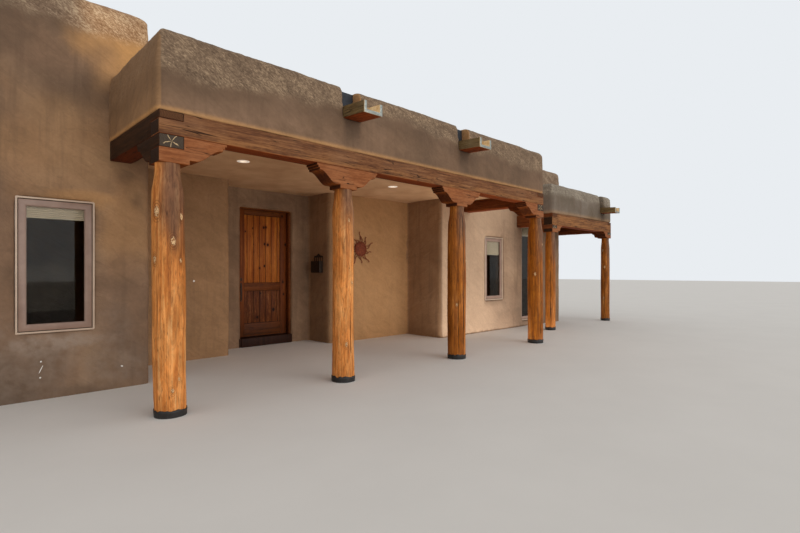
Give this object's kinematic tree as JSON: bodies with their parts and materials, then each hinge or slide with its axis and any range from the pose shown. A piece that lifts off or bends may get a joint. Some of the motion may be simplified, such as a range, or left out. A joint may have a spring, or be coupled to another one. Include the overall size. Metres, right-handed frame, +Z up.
{
  "type": "adobe house",
  "caption": "Flat-roofed adobe house with rounded parapets, a log-column portal with carved corbels, a recessed plank door and a corner terrace roof.",
  "frame": {"origin": "on the ground at the middle of the whole footprint, spouts included", "axes": "+X to the right along the front, +Y into the house, +Z up"},
  "size_m": [16.512, 10.056, 4.74],
  "materials": {
    "stucco": "trowelled earth stucco, rough and matt",
    "soffit_plaster": "smooth plaster, matt",
    "floor": "worn clay tile, matt",
    "roof_membrane": "mineral roofing felt, matt",
    "weathered_timber": "weathered sawn timber, dry",
    "stained_timber": "dark stained timber, satin",
    "peeled_log": "peeled and oiled log, satin",
    "tar_band": "brushed bitumen, dull",
    "door_wood": "oiled knotty boards, satin",
    "door_frame_wood": "stained boards, satin",
    "galvanised_sheet": "folded galvanised sheet, dull spangle",
    "dark_iron": "forged iron, dark and dull",
    "rusted_iron": "rusted iron, dull",
    "window_clad": "painted cladding, satin",
    "window_glass": "clear glass",
    "white_trim": "white enamel, satin"
  },
  "bodies": {
    "house": {"left_front_wall": "stucco", "left_side_wall": "stucco", "left_back_wall": "stucco", "left_return_wall": "stucco", "roof_step_wall": "stucco", "hall_wall": "stucco", "recess_left_wall": "stucco", "door_side_walls": "stucco", "door_lintel_wall": "stucco", "recess_right_wall": "stucco", "ornament_wall": "stucco", "portal_end_wall": "stucco", "right_front_wall": "stucco", "right_side_wall": "stucco", "back_wall": "stucco", "floor_slab": "floor", "roof_decks": "roof_membrane", "portal_front_parapet": "stucco", "portal_side_parapets": "stucco", "portal_roof": "soffit_plaster", "front_beam": "weathered_timber", "side_beams": "stained_timber", "front_corbels": "weathered_timber", "return_corbels": "stained_timber", "log_columns": "peeled_log", "column_collars": "tar_band", "canales": "stained_timber", "canal_liners": "galvanised_sheet", "portal_lights": "white_trim", "door_frame": "door_frame_wood", "door_sill": "door_frame_wood", "door_hinges": "dark_iron", "window_frames": "window_clad", "window_glass": "window_glass", "wall_sun": "rusted_iron", "wall_basket": "dark_iron", "terrace_cross_parapets": "stucco", "terrace_side_parapets": "stucco", "terrace_roof": "soffit_plaster", "terrace_cross_beams": "weathered_timber", "terrace_side_beams": "stained_timber", "terrace_corbels": "weathered_timber", "terrace_return_corbels": "stained_timber"},
    "front_door": {"front_door": "door_wood", "door_hardware": "dark_iron"}
  },
  "joints": [
    {"name": "front_door_hinge", "type": "hinge", "parent": "house", "child": "front_door", "pos_m": [-0.905, -0.691, 1.4195], "axis": [0, 0, -1], "range_deg": [0, 90]}
  ]
}
